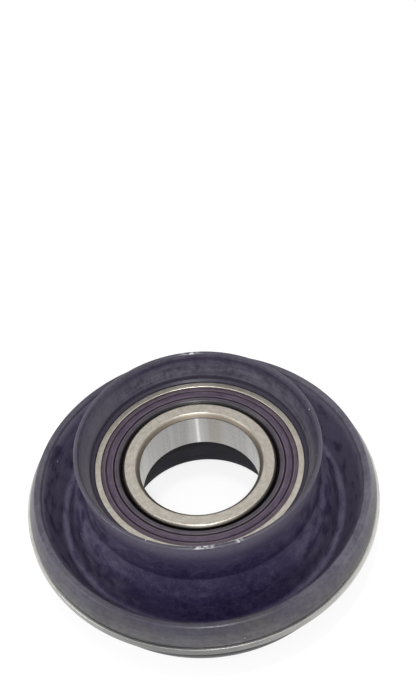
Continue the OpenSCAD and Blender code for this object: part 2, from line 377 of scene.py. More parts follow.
class CushionSurface(ShaderGraph):
    """The cushion's surface: noises all over it, and masks from 0 to 1 for its sides and zones.

    The masks' soft borders are counted in millimetres from the levels of the cushion's section.
    """

    def __init__(self, marks: CushionMarks, shape: "Cushion") -> None:
        """Adds the noises and the masks.

        Args:
            marks: The noises' sizes.
            shape: The cushion, for its radii and heights.
        """
        super().__init__("cushion_rubber")
        self.streaks = self.swirl(marks.streaks)
        self.strokes = self.swirl(marks.strokes)
        self.fine = self.swirl(marks.fine)
        self.blotches = self.noise(marks.blotches)
        self.mottling = self.noise(marks.mottling)
        self.grain = self.noise(marks.grain)
        wipes = self.swirl(marks.wipes)
        self.dirt = (wipes * 0.35 + self.mottling * 0.3 + self.streaks * 0.35).rise(0.40, 0.62)
        # Masks for the sides, and for the left and the right, used to paint light that falls more on the
        # sides than on the front and back.
        across = self.turn.math("COSINE", self.turn)
        self.aside = abs(across).rise(0.35, 0.95)
        self.right = across.rise(0.2, 0.9)
        self.left = across.rise(-0.4, -0.95)
        self.mask_cup(shape)
        self.mask_rim(shape)
        self.mask_underside(shape)

    def mask_cup(self, shape: "Cushion") -> None:
        """Adds the masks of the cup's two sides, its ridge, its lip and the crease at its foot.

        Args:
            shape: The cushion.
        """
        h = self.h
        above = h.rise(shape.face_z - 0.2, shape.face_z + 0.2)
        wall = shape.seat_r + shape.hub_wall / 2 + (h - shape.face_z) * shape.wall_flare
        self.inside = above * (wall - self.r).rise(-0.15, 0.15)
        self.outside = (1.0 - self.inside) * self.r.rise(shape.foot_r + 1.7, shape.foot_r + 1.1)
        self.sheen_haze = self.outside * h.rise(shape.foot_z + 3.0, shape.cup_z - 1.0)
        self.crease = self.outside * h.near(shape.foot_z + 0.6, 2.4)
        self.lip_outside = self.outside * h.rise(shape.cup_z - 6.0, shape.cup_z - 1.0)
        self.wall_band = h.near(shape.face_z + 4.0, 3.0)
        self.lip_shadow = self.inside * h.near(shape.cup_z - 1.5, 1.0)
        self.below_ridge = self.inside * h.rise(shape.ridge_z, shape.ridge_z - 0.5)
        self.ridge = self.inside * h.near(shape.ridge_z + 0.2, 0.35)
        wall_z = h.rise(shape.ridge_z, shape.ridge_z + 0.8) * h.rise(shape.cup_z - 0.6, shape.cup_z - 1.4)
        self.left_wall = self.inside * self.left * wall_z
        self.wall_gloss = self.inside * h.rise(shape.ridge_z - 0.3, shape.ridge_z)
        self.lip_edge = h.rise(shape.cup_z - 0.7, shape.cup_z - 0.4)
        self.lip_gloss = h.rise(shape.cup_z - 0.4, shape.cup_z)
        self.brink = h.rise(shape.cup_z - 0.25, shape.cup_z - 0.05)

    def mask_rim(self, shape: "Cushion") -> None:
        """Adds the masks of the rim, its bevel and land, and the slope from the trough up to it.

        Args:
            shape: The cushion.
        """
        r, h = self.r, self.h
        top = h.rise(shape.rim_z - 1.0, shape.rim_z - 0.5)
        top = top * r.rise(shape.rim_in_r - 3.0, shape.rim_in_r - 2.5)
        self.rim = top.most(r.rise(shape.rim_in_r + 0.25, shape.rim_in_r + 0.6))
        self.bevel = r.rise(shape.bead_r + 0.3, shape.rim_r - 0.1)
        self.land = r.rise(shape.rim_r - 0.4, shape.rim_r - 0.2) * h.near(shape.land_z + 0.1, 0.5)
        fold = r.near(shape.trough_r + 1.0, 1.6) * h.rise(shape.trough_z + 5.6, shape.trough_z + 2.6)
        self.fold = fold * self.strokes
        slope = r.rise(shape.trough_r + 0.2, shape.trough_r + 2.2)
        self.bank = slope * (0.1 + self.right * 0.5 + self.strokes * 0.4)
        self.brow = slope * h.rise(shape.rim_z - 3.5, shape.rim_z - 0.6)

    def mask_underside(self, shape: "Cushion") -> None:
        """Adds the masks of all that lies on the collar side, and of the roll's crest.

        Args:
            shape: The cushion.
        """
        r, h = self.r, self.h
        low = h.rise(shape.trough_z + 2.2, shape.trough_z + 1.6)
        inner_wall = r.rise(shape.roll_in_r + 0.4, shape.roll_in_r)
        inner_wall = inner_wall * h.rise(1.0 - shape.face_z, -shape.face_z)
        plate_mid_z = shape.land_z - shape.plate_t / 2
        flank = r.rise(shape.ledge_r - 0.7, shape.ledge_r - 0.5) * h.rise(plate_mid_z + 0.4, plate_mid_z)
        self.low = low.most(inner_wall).most(flank)
        self.crest = h.rise(shape.crest_z + 2.6, shape.crest_z + 0.4)


@dataclass(frozen=True)
class CushionRubber:
    """Black moulded rubber: indigo in the folds, with smears, dust and lint.
    Light and shade are partly painted into its colour: painted sheen on the cup's outside, the rim's bevel
    and the sides, painted highlights on the ridge and along the trough, painted shade in the crease and
    under the ridge, and painted glints on the lip's edge.

    Each painted glint on the lip's edge is an angle round the axis and its reach, in radians.
    """

    slot: str = "rubber"
    marks: CushionMarks = CushionMarks()
    indigo: Colour = (0.022, 0.017, 0.045)
    deep: Colour = (0.011, 0.007, 0.028)
    cup: Colour = (0.052, 0.047, 0.070)
    smear_and_shade: Colour = (0.020, 0.017, 0.029)
    sheen_haze: Colour = (0.074, 0.065, 0.100)
    lip: Colour = (0.094, 0.088, 0.113)
    edge: Colour = (0.042, 0.039, 0.054)
    pale: Colour = (0.120, 0.112, 0.150)
    bevel_sheen: Colour = (0.074, 0.072, 0.078)
    brown: Colour = (0.060, 0.055, 0.045)
    underside: Colour = (0.011, 0.011, 0.014)
    lint: Colour = (0.42, 0.42, 0.44)
    dust: Colour = (0.13, 0.12, 0.15)
    painted_glint: Colour = (0.40, 0.40, 0.41)
    painted_glints: tuple[Point, ...] = ((-1.60, 0.14), (-1.33, 0.04), (1.55, 0.12))
    specular: float = 0.12
    coat_roughness: float = 0.25
    roughness: float = 0.50
    grain_depth: float = 0.04

    def paint_web(self, g: CushionSurface) -> bpy.types.NodeSocket:
        """Colours the web, the trough and the cup's outside.

        Args:
            g: The surface.

        Returns:
            The colour so far.
        """
        return g.layers(
            self.deep,
            ((g.blotches * 0.4 + g.mottling * 0.6).rise(0.38, 0.62), self.indigo),
            # Lighter brush-like strokes at random, in the painted sheen's colour.
            ((g.strokes * 0.6 + g.grain * 0.4).rise(0.46, 0.70) * 0.28, self.sheen_haze),
            # Painted light: the sides of the web and the trough are lighter, broken by strokes.
            (g.aside * (0.42 + g.strokes.rise(0.40, 0.66) * 0.45), self.sheen_haze),
            # Painted light on the slope up to the rim, strongest on the right side.
            (g.aside * g.bank, self.sheen_haze),
            # Painted sheen on the upper slope under the rim's top.
            (g.brow * (0.7 + g.aside * 0.3), self.pale),
            # Darker strokes break up the painted light on the sides.
            (g.aside * g.strokes.rise(0.50, 0.34) * 0.6, self.deep),
            # Painted highlight along the trough's rounded bottom.
            (g.fold * 0.6, self.sheen_haze),
            # Painted sheen on the cup's upper outside.
            (g.sheen_haze, self.sheen_haze),
            # Painted sheen growing towards the lip on the cup's outside.
            (g.lip_outside * 0.55, self.lip),
            # Painted shade in the crease at the cup's foot.
            (g.crease * 0.45, self.deep),
            (g.specks(self.marks.dust) * (1.0 - g.inside), self.dust),
        )

    def paint_cup(self, g: CushionSurface, colour: bpy.types.NodeSocket) -> bpy.types.NodeSocket:
        """Colours the cup's inside and the lip's edge.

        Args:
            g: The surface.
            colour: The colour so far.

        Returns:
            The colour with the cup.
        """
        return g.layers(
            colour,
            (g.inside, g.mix(g.wall_band * 0.7, self.cup, self.lip)),
            (g.inside * g.dirt * 0.75, self.smear_and_shade),
            (g.lip_shadow * 0.5, self.deep),
            # Painted shade under the ridge, over the bead beside the ring.
            (g.below_ridge * 0.95, self.smear_and_shade),
            # Painted highlight along the ridge's upper corner.
            (g.ridge * 0.4, self.lip),
            # Painted light on the cup's inside wall on the left.
            (g.left_wall * 0.55, self.lip),
            (g.lip_edge * (0.85 - g.dirt * 0.4), self.edge),
        )

    def paint_rim(self, g: CushionSurface, colour: bpy.types.NodeSocket) -> bpy.types.NodeSocket:
        """Colours the rim, and lays fine wear over everything on the cup side.

        Args:
            g: The surface.
            colour: The colour so far.

        Returns:
            The colour with the rim.
        """
        return g.layers(
            colour,
            # The rim's top stays dark and its bevel gets a lighter painted sheen.
            (g.rim, g.mix(g.bevel, self.edge, self.bevel_sheen)),
            (g.rim * g.blotches.rise(0.46, 0.66) * 0.5, self.brown),
            # Painted light on the rim's top at the sides, more on the right.
            (g.rim * (1.0 - g.bevel) * (g.left * 0.5).most(g.right * 0.9), self.lip),
            (g.rim * g.dirt * 0.55, self.smear_and_shade),
            (g.fine.rise(0.52, 0.74) * 0.14, self.lip),
            (g.fine.rise(0.50, 0.30) * 0.22, self.deep),
        )

    def paint_underside(self, g: CushionSurface, colour: bpy.types.NodeSocket) -> bpy.types.NodeSocket:
        """Colours the collar side and the shadow along the plate.

        Args:
            g: The surface.
            colour: The colour so far.

        Returns:
            The colour with the underside.
        """
        soot = g.layers(
            self.underside,
            (g.strokes.rise(0.40, 0.62) * 0.4, self.deep),
            (g.streaks.rise(0.50, 0.80) * 0.25, self.edge),
            (g.blotches.rise(0.30, 0.80) * (0.04 + g.crest * 0.3), self.brown),
        )
        return g.layers(colour, (g.low, soot), (g.land * 0.9, self.deep))

    def sheen(self, g: CushionSurface) -> Value:
        """Tells how much the rubber shines.

        Args:
            g: The surface.

        Returns:
            The coat's weight.
        """
        sheen = 0.14 + g.rim * 0.16 + g.bevel * 0.2 + g.wall_gloss * 0.3 + g.sheen_haze * 0.3
        sheen = sheen + (g.streaks - 0.5) * 0.3 + g.low * (0.06 + g.crest * 0.3)
        return sheen + g.lip_gloss * (g.streaks * 0.8 - 0.4)

    def material(self, shape: "Cushion") -> bpy.types.Material:
        """Builds the finish.

        Args:
            shape: The cushion that it is for.

        Returns:
            The material.
        """
        g = CushionSurface(self.marks, shape)
        colour = self.paint_cup(g, self.paint_web(g))
        colour = self.paint_underside(g, self.paint_rim(g, colour))
        colour = g.mix(g.specks(self.marks.lint), colour, self.lint)
        # Painted glints along the lip's edge, at the front and the back, broken up by mottling.
        glint_spots = g.brink * g.mottling.rise(0.40, 0.58)
        colour = g.layers(colour, *((glint_spots * g.turn.near(*spot), self.painted_glint) for spot in self.painted_glints))
        return g.finish(
            Base_Color=colour,
            Roughness=self.roughness + (g.strokes - 0.5) * 0.3,
            Specular_IOR_Level=self.specular,
            Coat_Weight=self.sheen(g),
            Coat_Roughness=self.coat_roughness,
            Normal=g.bump(g.grain * 0.6 + g.streaks * 0.4, self.grain_depth),
        )


@dataclass(frozen=True)
class RingSteel:
    """Ground bearing steel: warm matt faces, a chamfer with a painted dark reflection, painted shade on the
    bevel by the seal's gap, and a honed bore whose axial streaks are partly marks and partly painted
    reflections, with a painted darker band and a painted glare.

    Radii are in millimetres, and the glare's angle is in radians.
    """

    slot: str = "ring_steel"
    grinding: Swirl = Swirl(0.002, 4200.0, 3.0)
    honing_and_reflections: Swirl = Swirl(0.0175, 700.0, 4.0, 0.03)
    mottling: Grain = Grain(700.0, 4.0)
    face: Colour = (0.47, 0.44, 0.39)
    shade: Colour = (0.38, 0.35, 0.30)
    chamfer: Colour = (0.17, 0.145, 0.115)
    bore: Colour = (0.42, 0.41, 0.40)
    streak: Colour = (0.36, 0.355, 0.35)
    shine: Colour = (0.86, 0.86, 0.85)
    bevel: Colour = (0.10, 0.085, 0.075)
    bore_r: float = 17.5
    chamfer_r: float = 18.7
    inner_face_r: float = 21.8
    gap_r: float = 24.0
    shine_turn: float = 1.535
    roughness: float = 0.34
    grinding_depth: float = 0.004

    def material(self) -> bpy.types.Material:
        """Builds the finish.

        Returns:
            The material.
        """
        g = ShaderGraph("ring_steel")
        grinding = g.swirl(self.grinding)
        mottling = g.noise(self.mottling)
        inside = g.r.rise(self.bore_r + 0.10, self.bore_r + 0.02)
        flat = g.r.rise(self.bore_r + 0.5, self.chamfer_r + 0.3)
        bevel = g.r.rise(self.inner_face_r + 0.1, self.inner_face_r + 0.6)
        bevel = bevel * g.r.rise(self.gap_r + 0.2, self.gap_r)
        face = g.mix((mottling * 0.5 + grinding * 0.5).rise(0.40, 0.62), self.shade, self.face)
        glare = g.turn.near(self.shine_turn, 0.06).most(g.turn.near(self.shine_turn, 0.22) * 0.35)
        # The bore's wall: axial streaks, partly marks and partly painted reflections, a painted darker band
        # beside the glare, and the painted glare itself.
        wall = g.layers(
            self.streak,
            (g.swirl(self.honing_and_reflections).rise(0.40, 0.62), self.bore),
            (g.turn.near(self.shine_turn - 0.3, 0.25) * 0.6, self.shade),
            (glare, self.shine),
        )
        roughness = self.roughness - inside * 0.06 + (1.0 - flat) * (1.0 - inside) * 0.16
        return g.finish(
            # The chamfer's colour is a painted dark reflection; the bevel by the seal's gap is painted
            # shade.
            Base_Color=g.layers(self.chamfer, (flat, face), (inside, wall), (bevel, self.bevel)),
            Roughness=roughness + (grinding - 0.5) * 0.2,
            Metallic=1.0,
            Normal=g.bump(grinding, self.grinding_depth),
        )


@dataclass(frozen=True)
class PlateSteel:
    """Bare rolled steel of the rim's plate, with a painted dark reflection over its front and random darker
    stains.
    """

    slot: str = "plate_steel"
    marks: Swirl = Swirl(0.003, 2200.0, 3.0)
    mottling: Grain = Grain(300.0, 4.0)
    bright: Colour = (0.62, 0.61, 0.57)
    dark_reflection_and_stain: Colour = (0.150, 0.150, 0.152)
    dark_reflection_turn: float = -1.75
    dark_reflection_reach: float = 1.5
    roughness: float = 0.36
    mark_depth: float = 0.006

    def material(self) -> bpy.types.Material:
        """Builds the finish.

        Returns:
            The material.
        """
        g = ShaderGraph("plate_steel")
        marks = g.swirl(self.marks)
        stained = (g.noise(self.mottling) * 0.4 + marks * 0.6).rise(0.46, 0.66)
        # Painted dark reflection over the plate's front; random stains darken it further.
        dark_reflection = g.turn.near(self.dark_reflection_turn, self.dark_reflection_reach)
        return g.finish(
            Base_Color=g.layers(self.bright, (dark_reflection * 0.9, self.dark_reflection_and_stain), (stained * 0.4, self.dark_reflection_and_stain)),
            Roughness=self.roughness + (marks - 0.5) * 0.2,
            Metallic=1.0,
            Normal=g.bump(marks, self.mark_depth),
        )


@dataclass(frozen=True)
class SealRubber:
    """Mauve seal rubber with fine rings, painted shade in its ring grooves and painted highlights on their
    edges, a glossy lip recess painted dark as shade, and painted shade over the whole seal on the collar
    side.

    Radii and widths are in millimetres.
    """

    slot: str = "seal_rubber"
    rings: Swirl = Swirl(0.002, 2600.0, 2.0)
    mottling: Grain = Grain(500.0, 4.0)
    face: Colour = (0.046, 0.028, 0.053)
    rim: Colour = (0.051, 0.033, 0.050)
    band: Colour = (0.038, 0.029, 0.043)
    crest: Colour = (0.125, 0.105, 0.120)
    dark: Colour = (0.004, 0.003, 0.004)
    lip_r: float = 23.6
    outer_groove_r: float = 27.2
    inner_groove_r: float = 25.0
    groove_w: float = 0.42
    edge_highlight_w: float = 0.16
    specular: float = 0.12
    coat_roughness: float = 0.26
    roughness: float = 0.48
    ring_depth: float = 0.015

    def material(self) -> bpy.types.Material:
        """Builds the finish.

        Returns:
            The material.
        """
        g = ShaderGraph("seal_rubber")
        rings = g.swirl(self.rings)
        mottling = g.noise(self.mottling)
        outer, inner = self.outer_groove_r, self.inner_groove_r
        edges = (outer + self.groove_w, inner + self.groove_w, inner - self.groove_w)
        grooves = (g.r.near(outer, self.groove_w) * 0.7).most(g.r.near(inner, self.groove_w))
        # The lip's recess is painted dark as shade, and it also gets a glossy coat.
        lip_recess = g.r.rise(self.lip_r + 0.1, self.lip_r - 0.2)
        # Painted shade: in the ring grooves, over the lip's recess, and over the whole seal on the collar
        # side.
        shadow = grooves.most(lip_recess).most(g.h.rise(0.0, -0.5) * 0.85)
        colour = g.layers(
            self.band,
            (g.r.rise(inner - 0.1, inner + 0.1), self.face),
            (g.r.rise(outer - 0.1, outer + 0.1), self.rim),
            (rings.rise(0.52, 0.70) * 0.35, self.crest),
            (rings.rise(0.48, 0.32) * 0.4, self.dark),
            (mottling.rise(0.42, 0.75) * 0.35, self.dark),
            # Painted highlights along the grooves' edges.
            *((g.r.near(edge, self.edge_highlight_w) * 0.5, self.crest) for edge in edges),
            (shadow, self.dark),
        )
        return g.finish(
            Base_Color=colour,
            Roughness=self.roughness + (rings - 0.5) * 0.2,
            Specular_IOR_Level=self.specular,
            Coat_Weight=(1.0 - shadow) * 0.6 + lip_recess * 0.9,
            Coat_Roughness=self.coat_roughness,
            Normal=g.bump(rings, self.ring_depth),
        )


@dataclass(frozen=True)
class PlainSteel:
    """Bare steel of the sealed pieces, with faint drawing marks."""

    name: str
    colour: Colour
    shadow: Colour
    roughness: float
    marks: Swirl = Swirl(0.01, 1500.0, 3.0)

    def material(self) -> bpy.types.Material:
        """Builds the finish.

        Returns:
            The material.
        """
        g = ShaderGraph(self.name)
        marks = g.swirl(self.marks)
        colour = g.mix(marks.rise(0.4, 0.7), self.colour, self.shadow)
        return g.finish(Base_Color=colour, Roughness=self.roughness + (marks - 0.5) * 0.1, Metallic=1.0)


@dataclass(frozen=True)
class Corner:
    """One corner of a ring's section: radius, height and rounding, in millimetres."""

    r: float
    z: float
    rounding: float = 0.0

    @property
    def place(self) -> Vector:
        """The corner's place in the section."""
        return Vector((self.r, self.z))

    def mirrored(self) -> "Corner":
        """The same corner on the other side of the bearing."""
        return Corner(self.r, -self.z, self.rounding)


@dataclass(frozen=True)
class Outline:
    """A ring's closed section, with arcs at its rounded corners. Sizes are in millimetres.

    A rounding may use a share of each edge beside it: the shared one where the corner at the edge's other
    end has a rounding too, and the own one where that corner is sharp or only finely rounded.
    """

    corners: tuple[Corner, ...]
    chord_error: float = 0.003
    least_steps: int = 3
    step: float = 1.2
    support: float = 0.1
    fine_rounding: float = 0.1
    shared_edge: float = 0.49
    own_edge: float = 0.97

    def reach(self, corner: Corner, other: Corner) -> float:
        """The length of an edge that a corner's rounding may use.

        Args:
            corner: The corner that is rounded.
            other: The corner at the edge's other end.

        Returns:
            The length, in millimetres.
        """
        share = self.shared_edge if other.rounding > self.fine_rounding else self.own_edge
        return (other.place - corner.place).length * share

    def arc(self, before: Corner, corner: Corner, after: Corner) -> list[Vector]:
        """The points that round one corner.

        Args:
            before: The corner before it.
            corner: The corner itself.
            after: The corner after it.

        Returns:
            The arc's points, or the corner where it is sharp.
        """
        p = corner.place
        u = (before.place - p).normalized()
        w = (after.place - p).normalized()
        half = u.angle(w) / 2
        room = min(self.reach(corner, before), self.reach(corner, after))
        r = min(corner.rounding, room * math.tan(half))
        if r <= 0:
            return [p]
        centre = p + (u + w).normalized() * (r / math.sin(half))
        start = p + u * (r / math.tan(half)) - centre
        turn = (math.pi - 2 * half) * (1 if u.x * w.y - u.y * w.x < 0 else -1)
        steps = max(self.least_steps, math.ceil(abs(turn) / (2 * math.acos(1 - self.chord_error / r))))
        return [centre + rotated(start, turn * i / steps) for i in range(steps + 1)]

    def points(self) -> list[Point]:
        """The whole section, with extra points along its straight stretches.

        Returns:
            The points in order, in millimetres.
        """
        count = len(self.corners)
        arcs = [
            self.arc(self.corners[i - 1], self.corners[i], self.corners[(i + 1) % count])
            for i in range(count)
        ]
        made: list[Point] = []
        for i, arc in enumerate(arcs):
            made += [(p.x, p.y) for p in arc]
            made += self.between(arc[-1], arcs[(i + 1) % count][0])
        return made

    def between(self, start: Vector, end: Vector) -> list[Point]:
        """Points along a straight stretch: one close to each end, and the rest evenly spaced.

        Args:
            start: The stretch's first point.
            end: Its last point.

        Returns:
            The points between the two.
        """
        length = (end - start).length
        if length < 3 * self.support:
            return []
        inner = length - 2 * self.support
        pieces = max(1, math.ceil(inner / self.step))
        along = [self.support + inner * i / pieces for i in range(pieces + 1)]
        return [tuple(start.lerp(end, a / length)) for a in along]


def rotated(v: Vector, angle: float) -> Vector:
    """Turns a flat vector.

    Args:
        v: The vector.
        angle: The angle, in radians.

    Returns:
        The turned vector.
    """
    c, s = math.cos(angle), math.sin(angle)
    return Vector((v.x * c - v.y * s, v.x * s + v.y * c))


def add_object(name: str, data: bpy.types.ID) -> bpy.types.Object:
    """Adds an object to the scene.

    Args:
        name: The object's name.
        data: Its mesh, light or camera.

    Returns:
        The object.
    """
    made = bpy.data.objects.new(name, data)
    bpy.context.scene.collection.objects.link(made)
    return made


class NodeRecipe(NodeGraph):
    """A Geometry Nodes tree that is built once and run on many pieces."""

    def __init__(self, name: str, inputs: dict[str, str]) -> None:
        """Makes the tree's interface.

        Args:
            name: The tree's name.
            inputs: Each named input and its socket type.
        """
        super().__init__(bpy.data.node_groups.new(name, "GeometryNodeTree"))
        sockets = self.tree.interface
        sockets.new_socket("Geometry", in_out="INPUT", socket_type="NodeSocketGeometry")
        self.identifiers = {
            key: sockets.new_socket(key, in_out="INPUT", socket_type=kind).identifier
            for key, kind in inputs.items()
        }
        sockets.new_socket("Geometry", in_out="OUTPUT", socket_type="NodeSocketGeometry")
        self.entry = self.node("NodeGroupInput")

    def close(self, geometry: bpy.types.NodeSocket, finish: bpy.types.NodeSocket) -> None:
        """Ends the tree in real faces with their finish.

        Args:
            geometry: The finished geometry.
            finish: The material input.
        """
        real = self.node("GeometryNodeRealizeInstances", inputs={"Geometry": geometry})
        painted = self.node(
            "GeometryNodeSetMaterial", inputs={"Geometry": real.outputs[0], "Material": finish}
        )
        self.node("NodeGroupOutput", inputs={"Geometry": painted.outputs[0]})

    def run(self, name: str, start: bpy.types.Mesh, values: dict[str, Any]) -> bpy.types.Object:
        """Runs the tree on a mesh and keeps the result as a plain piece.

        Args:
            name: The new piece's name.
            start: The mesh that goes in.
            values: The named inputs' values.

        Returns:
            The piece, linked to the scene.
        """
        scratch = add_object(name + "_start", start)
        modifier = scratch.modifiers.new(self.tree.name, "NODES")
        modifier.node_group = self.tree
        for key, item in values.items():
            modifier[self.identifiers[key]] = item
        depsgraph = bpy.context.evaluated_depsgraph_get()
        mesh = bpy.data.meshes.new_from_object(scratch.evaluated_get(depsgraph))
        mesh.name = name
        piece = add_object(name, mesh)
        bpy.data.objects.remove(scratch)
        bpy.data.meshes.remove(start)
        return piece


class RingSweep(NodeRecipe):
    """Sweeps a closed section round the shaft's axis, with a slow wave in its surface if wanted.

    The wave's scale is in features per metre and its detail in octaves.
    """

    wave_scale: float = 38.0
    wave_detail: float = 1.0
    noise_middle: Place = (0.5, 0.5, 0.5)

    def __init__(self) -> None:
        """Builds the tree."""
        super().__init__(
            "ring_sweep",
            {
                "Rail radius": "NodeSocketFloat",
                "Steps round": "NodeSocketInt",
                "Waviness": "NodeSocketFloat",
                "Finish": "NodeSocketMaterial",
            },
        )
        given = self.entry.outputs
        section = self.node("GeometryNodeMeshToCurve", inputs={"Mesh": given["Geometry"]})
        rail = self.node(
            "GeometryNodeCurvePrimitiveCircle",
            inputs={"Resolution": given["Steps round"], "Radius": given["Rail radius"]},
        )
        level = self.node("GeometryNodeSetCurveNormal", {"mode": "Z_UP"}, {"Curve": rail.outputs[0]})
        swept = self.node(
            "GeometryNodeCurveToMesh",
            inputs={"Curve": level.outputs[0], "Profile Curve": section.outputs[0]},
        )
        offset = self.wave(given["Waviness"])
        moved = self.node(
            "GeometryNodeSetPosition", inputs={"Geometry": swept.outputs[0], "Offset": offset}
        )
        outward = self.node("GeometryNodeFlipFaces", inputs={"Mesh": moved.outputs[0]})
        smooth = self.node("GeometryNodeSetShadeSmooth", inputs={"Geometry": outward.outputs[0]})
        self.close(smooth.outputs[0], given["Finish"])

    def wave(self, waviness: bpy.types.NodeSocket) -> bpy.types.NodeSocket:
        """Adds a slow noise that moves the surface both ways.

        Args:
            waviness: The noise's size.

        Returns:
            The offset of each point.
        """
        inputs = {"Scale": self.wave_scale, "Detail": self.wave_detail}
        noise = self.node("ShaderNodeTexNoise", inputs=inputs)
        centred = self.node(
            "ShaderNodeVectorMath",
            {"operation": "SUBTRACT"},
            {0: noise.outputs["Color"], 1: self.noise_middle},
        )
        scaled = self.node(
            "ShaderNodeVectorMath", {"operation": "SCALE"}, {0: centred.outputs[0], "Scale": waviness}
        )
        return scaled.outputs[0]

    def ring(
        self, name: str, outline: Outline, finish: bpy.types.Material, steps: int, waviness: float = 0.0
    ) -> bpy.types.Object:
        """Sweeps one ring.

        Args:
            name: The piece's name.
            outline: Its section.
            finish: Its material.
            steps: Segments round the axis.
            waviness: How far its surface wanders, in millimetres.

        Returns:
            The ring.
        """
        points = outline.points()
        rail = sum(p[0] for p in points) / len(points)
        mesh = bpy.data.meshes.new(name + "_section")
        edges = [(i, (i + 1) % len(points)) for i in range(len(points))]
        mesh.from_pydata([((r - rail) * MM, -z * MM, 0.0) for r, z in points], edges, [])
        values = {
            "Rail radius": rail * MM,
            "Steps round": steps,
            "Waviness": waviness * MM,
            "Finish": finish,
        }
        return self.run(name, mesh, values)


@dataclass
class BallBearing:
    """The sealed ball bearing: rings and seals swept afresh, sealed pieces given their finish.

    Sizes are in millimetres. A seal's ring groove has its section as shares of its width and depth.
    """

    sweep: RingSweep
    ring_finish: RingSteel = RingSteel()
    seal_finish: SealRubber = SealRubber()
    ball_finish: PlainSteel = PlainSteel("ball_steel", (0.78, 0.78, 0.79), (0.70, 0.70, 0.71), 0.08)
    sheet_finish: PlainSteel = PlainSteel("sheet_steel", (0.52, 0.53, 0.54), (0.42, 0.43, 0.44), 0.38)
    bore_r: float = 17.5
    outer_r: float = 31.0
    face_z: float = 7.0
    ball_r: float = 3.969
    race_gap: float = 0.06
    race_ease: float = 0.16
    race_steps: int = 24
    inner_shoulder: float = 2.28
    outer_shoulder: float = 1.58
    bore_chamfer: float = 1.2
    bore_round: float = 0.5
    ring_chamfer: float = 0.6
    ring_round: float = 0.25
    land_bevel: float = 0.7
    land_round: float = 0.3
    seat_edge_round: float = 0.1
    seat_corner_round: float = 0.05
    seat_mouth_round: float = 0.2
    seal_step: float = 1.98
    seal_snap: float = 0.45
    seal_low: float = 5.089
    seal_high: float = 6.65
    snap_share: float = 0.4
    snap_round: float = 0.1
    snap_step_round: float = 0.05
    seal_rim_w: float = 1.48
    seal_rim_round: float = 0.25
    line_w: float = 0.5
    line_depth: float = 0.3
    line_round: float = 0.06
    line_section: tuple[Point, ...] = ((0.5, 0.0), (0.25, 1.0), (-0.25, 1.0), (-0.5, 0.0))
    lip_gap: float = 0.12
    lip_w: float = 0.9
    lip_band_w: float = 1.46
    lip_share: float = 0.75
    lip_edge_h: float = 0.16
    lip_top_round: float = 0.3
    lip_round: float = 0.08
    back_bevel_w: float = 0.3
    back_round: float = 0.1
    stiffener_t: float = 0.3
    stiffener_lip: float = 1.1
    stiffener_seat: float = 0.9
    gap: float = 0.03
    steps: int = 256

    def __post_init__(self) -> None:
        """Works out the radii and heights that follow from the sizes."""
        pitch_r = (self.bore_r + self.outer_r) / 2
        seal_t = self.seal_high - self.seal_low
        self.race_r = self.ball_r + self.race_ease
        self.inner_bottom_r = pitch_r - self.ball_r - self.race_gap
        self.outer_bottom_r = pitch_r + self.ball_r + self.race_gap
        self.inner_land_r = self.inner_bottom_r + self.inner_shoulder
        self.outer_land_r = self.outer_bottom_r - self.outer_shoulder
        self.seal_r = self.outer_land_r + self.seal_step
        self.snap_r = self.seal_r + self.seal_snap
        self.snap_z = self.seal_high - seal_t * self.snap_share
        self.lip_r = self.inner_land_r + self.lip_gap
        self.lip_z = self.seal_high - seal_t * self.lip_share
        self.seal_inner_r = self.lip_r + self.lip_w

    def race(self, centre_r: float, land_r: float) -> list[Corner]:
        """The race groove of a ring as an arc of corners.

        Args:
            centre_r: Radius of the groove's own centre.
            land_r: Radius of the ring's land beside the groove.

        Returns:
            The corners, with no rounding, from the collar side to the cup side.
        """
        sign = -1 if centre_r > land_r else 1
        half = math.acos(sign * (land_r - centre_r) / self.race_r)
        turns = [half * (2 * i / self.race_steps - 1) for i in range(self.race_steps + 1)]
        return [
            Corner(centre_r + sign * self.race_r * math.cos(t), self.race_r * math.sin(t)) for t in turns
        ]

    def inner_ring(self) -> bpy.types.Object:
        """Sweeps the inner ring.

        Returns:
            The dressed ring.
        """
        upper = [
            Corner(self.inner_land_r, self.face_z - self.land_bevel, self.land_round),
            Corner(self.inner_land_r - self.land_bevel, self.face_z, self.land_round),
            Corner(self.bore_r + self.bore_chamfer, self.face_z, self.ring_round),
            Corner(self.bore_r, self.face_z - self.bore_chamfer, self.bore_round),
        ]
        lower = [corner.mirrored() for corner in upper[::-1]]
        race = self.race(self.inner_bottom_r + self.race_r, self.inner_land_r)
        outline = Outline((*lower, *race, *upper))
        piece = self.sweep.ring("ground_inner_ring", outline, self.ring_finish.material(), self.steps)
        return place_piece(piece, Body.INNER_RACE, "inner_ring")

    def outer_ring(self) -> bpy.types.Object:
        """Sweeps the outer ring, with a seat for a seal on each side.

        Returns:
            The dressed ring.
        """
        seat_r = self.seal_r + self.gap
        snap_r = self.snap_r + self.gap
        snap_z = self.snap_z + self.gap
        floor_z = self.seal_low - self.gap
        upper = [
            Corner(self.outer_r, self.face_z - self.ring_chamfer, self.ring_round),
            Corner(self.outer_r - self.ring_chamfer, self.face_z, self.ring_round),
            Corner(seat_r, self.face_z, self.seat_mouth_round),
            Corner(seat_r, snap_z, self.seat_edge_round),
            Corner(snap_r, snap_z, self.seat_corner_round),
            Corner(snap_r, floor_z, self.seat_corner_round),
            Corner(self.outer_land_r, floor_z, self.seat_edge_round),
        ]
        lower = [corner.mirrored() for corner in upper[::-1]]
        race = self.race(self.outer_bottom_r - self.race_r, self.outer_land_r)
        outline = Outline((*race[::-1], *lower, *upper))
        piece = self.sweep.ring("ground_outer_ring", outline, self.ring_finish.material(), self.steps)
        return place_piece(piece, Body.HOUSING, "outer_ring")

